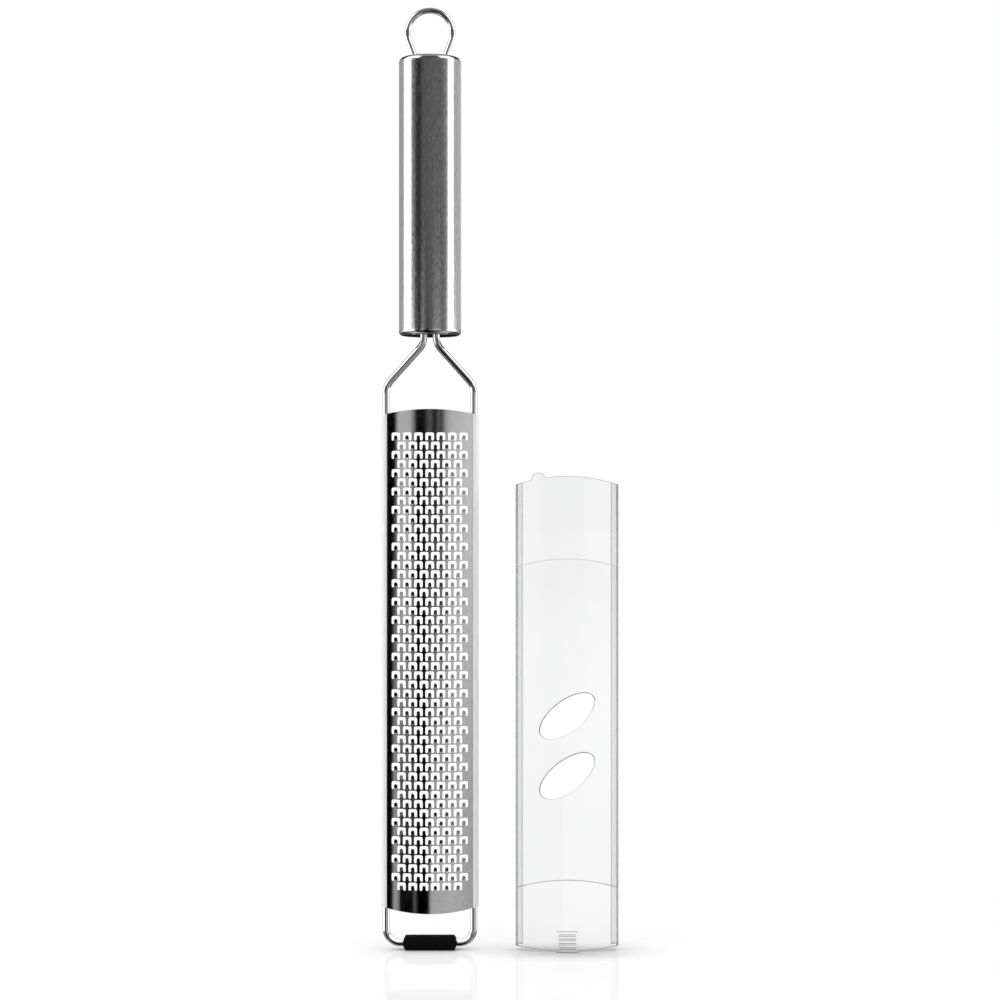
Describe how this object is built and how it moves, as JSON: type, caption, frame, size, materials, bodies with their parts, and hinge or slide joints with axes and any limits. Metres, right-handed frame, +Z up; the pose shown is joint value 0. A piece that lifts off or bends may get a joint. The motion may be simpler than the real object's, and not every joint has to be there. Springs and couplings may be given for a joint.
{
  "type": "flat hand grater",
  "caption": "Flat hand grater: a long crowned sheet of raised teeth rolled onto a wire frame, with a round tube handle, a hanging loop, a rubber foot and a clear slide-on cover.",
  "frame": {"origin": "middle of the rubber foot's underside, on which the grater stands upright", "axes": "+Z up along the grater, from the foot to the hanging loop; the grating face looks towards -Y; +X to the right when seen from the grating face, where the cover stands"},
  "size_m": [0.0834, 0.022, 0.3324],
  "materials": {
    "handle": "satin, grained along its length",
    "cap": "satin",
    "wire": "polished",
    "blade": "bright, rolled sheet",
    "foot": "matte",
    "cover": "clear, glossy"
  },
  "bodies": {
    "grater": {"handle_tube": "handle", "top_cap": "cap", "bottom_cap": "cap", "hanging_loop": "wire", "wire_frame": "wire", "blade": "blade", "rubber_foot": "foot"},
    "cover": {"cover": "cover"}
  },
  "joints": [
    {"name": "cover_slide", "type": "slide", "parent": "grater", "child": "cover", "axis": [0, 0, 1], "range_m": [0, 0.167]}
  ]
}
